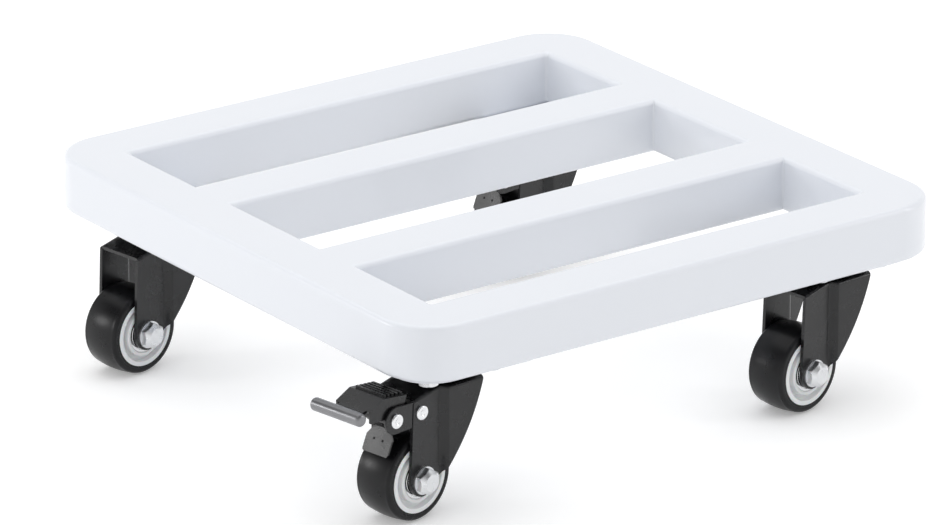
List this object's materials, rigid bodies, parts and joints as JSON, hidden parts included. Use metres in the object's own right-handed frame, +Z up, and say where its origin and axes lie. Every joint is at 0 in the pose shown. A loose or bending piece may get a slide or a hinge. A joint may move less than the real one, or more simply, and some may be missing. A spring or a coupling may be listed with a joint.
{
  "type": "plant caddy",
  "caption": "Low square plant caddy: a welded tube deck with crossbars on swivel casters, some with foot brakes, for rolling a heavy pot indoors.",
  "frame": {"origin": "on the floor below the centre of the square deck", "axes": "+Z up from the floor to the deck, +X along the two crossbars, +Y from the front tube to the rear tube. The wheels point towards -X."},
  "size_m": [0.3813, 0.35, 0.118],
  "materials": {
    "white_paint": "smooth glossy white powder coat",
    "black_steel": "semi-gloss black coat on pressed steel",
    "zinc_steel": "bright zinc plate",
    "tyre_black": "smooth polyurethane, soft sheen",
    "white_nylon": "moulded white nylon",
    "bearing_steel": "ground and polished steel",
    "press_bar": "gloss dark coat on round bar"
  },
  "bodies": {
    "deck": {"front_tube": "white_paint", "rear_tube": "white_paint", "left_tube": "white_paint", "right_tube": "white_paint", "front_crossbar": "white_paint", "rear_crossbar": "white_paint", "corner_plates": "white_paint", "plate_studs": "zinc_steel", "plate_nuts": "zinc_steel", "race_rings": "zinc_steel", "swivel_balls": "zinc_steel", "kingpins": "zinc_steel", "top_plate_front_left": "black_steel", "top_plate_front_right": "black_steel", "top_plate_rear_left": "black_steel", "top_plate_rear_right": "black_steel"},
    "caster_front_left": {"fork_front_left": "black_steel", "axle_bolt_front_left": "zinc_steel", "axle_nut_front_left": "zinc_steel", "axle_washers_front_left": "zinc_steel", "axle_sleeve_front_left": "zinc_steel", "brake_pins_front_left": "bearing_steel"},
    "wheel_front_left": {"tyre_front_left": "tyre_black", "wheel_core_front_left": "white_nylon", "bearings_front_left": "bearing_steel"},
    "caster_front_right": {"fork_front_right": "black_steel", "axle_bolt_front_right": "zinc_steel", "axle_nut_front_right": "zinc_steel", "axle_washers_front_right": "zinc_steel", "axle_sleeve_front_right": "zinc_steel"},
    "wheel_front_right": {"tyre_front_right": "tyre_black", "wheel_core_front_right": "white_nylon", "bearings_front_right": "bearing_steel"},
    "caster_rear_left": {"fork_rear_left": "black_steel", "axle_bolt_rear_left": "zinc_steel", "axle_nut_rear_left": "zinc_steel", "axle_washers_rear_left": "zinc_steel", "axle_sleeve_rear_left": "zinc_steel"},
    "wheel_rear_left": {"tyre_rear_left": "tyre_black", "wheel_core_rear_left": "white_nylon", "bearings_rear_left": "bearing_steel"},
    "caster_rear_right": {"fork_rear_right": "black_steel", "axle_bolt_rear_right": "zinc_steel", "axle_nut_rear_right": "zinc_steel", "axle_washers_rear_right": "zinc_steel", "axle_sleeve_rear_right": "zinc_steel", "brake_pins_rear_right": "bearing_steel"},
    "wheel_rear_right": {"tyre_rear_right": "tyre_black", "wheel_core_rear_right": "white_nylon", "bearings_rear_right": "bearing_steel"},
    "pedal_front_left": {"pedal_front_left": "black_steel", "press_bar_front_left": "press_bar"},
    "shoe_front_left": {"shoe_front_left": "black_steel"},
    "pedal_rear_right": {"pedal_rear_right": "black_steel", "press_bar_rear_right": "press_bar"},
    "shoe_rear_right": {"shoe_rear_right": "black_steel"}
  },
  "joints": [
    {"name": "swivel_front_left", "type": "hinge", "parent": "deck", "child": "caster_front_left", "pos_m": [-0.1285, -0.1285, 0.0733], "axis": [0, 0, 1], "continuous": true},
    {"name": "wheel_spin_front_left", "type": "hinge", "parent": "caster_front_left", "child": "wheel_front_left", "pos_m": [-0.15361, -0.13293, 0.024], "axis": [0.1736, -0.9848, 0], "continuous": true},
    {"name": "swivel_front_right", "type": "hinge", "parent": "deck", "child": "caster_front_right", "pos_m": [0.1285, -0.1285, 0.0733], "axis": [0, 0, 1], "continuous": true},
    {"name": "wheel_spin_front_right", "type": "hinge", "parent": "caster_front_right", "child": "wheel_front_right", "pos_m": [0.10339, -0.13293, 0.024], "axis": [0.1736, -0.9848, 0], "continuous": true},
    {"name": "swivel_rear_left", "type": "hinge", "parent": "deck", "child": "caster_rear_left", "pos_m": [-0.1285, 0.1285, 0.0733], "axis": [0, 0, 1], "continuous": true},
    {"name": "wheel_spin_rear_left", "type": "hinge", "parent": "caster_rear_left", "child": "wheel_rear_left", "pos_m": [-0.15361, 0.12407, 0.024], "axis": [0.1736, -0.9848, 0], "continuous": true},
    {"name": "swivel_rear_right", "type": "hinge", "parent": "deck", "child": "caster_rear_right", "pos_m": [0.1285, 0.1285, 0.0733], "axis": [0, 0, 1], "continuous": true},
    {"name": "wheel_spin_rear_right", "type": "hinge", "parent": "caster_rear_right", "child": "wheel_rear_right", "pos_m": [0.10339, 0.12407, 0.024], "axis": [0.1736, -0.9848, 0], "continuous": true},
    {"name": "pedal_press_front_left", "type": "hinge", "parent": "caster_front_left", "child": "pedal_front_left", "pos_m": [-0.17282, -0.13631, 0.0624], "axis": [0.1736, -0.9848, 0], "range_deg": [0, 10]},
    {"name": "shoe_swing_front_left", "type": "hinge", "parent": "caster_front_left", "child": "shoe_front_left", "pos_m": [-0.15509, -0.13319, 0.0622], "axis": [0.1736, -0.9848, 0], "range_deg": [0, 2.7]},
    {"name": "pedal_press_rear_right", "type": "hinge", "parent": "caster_rear_right", "child": "pedal_rear_right", "pos_m": [0.08418, 0.12069, 0.0624], "axis": [0.1736, -0.9848, 0], "range_deg": [0, 10]},
    {"name": "shoe_swing_rear_right", "type": "hinge", "parent": "caster_rear_right", "child": "shoe_rear_right", "pos_m": [0.10191, 0.12381, 0.0622], "axis": [0.1736, -0.9848, 0], "range_deg": [0, 2.7]}
  ],
  "couplings": [
    {"joint": "shoe_swing_front_left", "follows": "pedal_press_front_left", "ratio": 0.27},
    {"joint": "shoe_swing_rear_right", "follows": "pedal_press_rear_right", "ratio": 0.27}
  ]
}
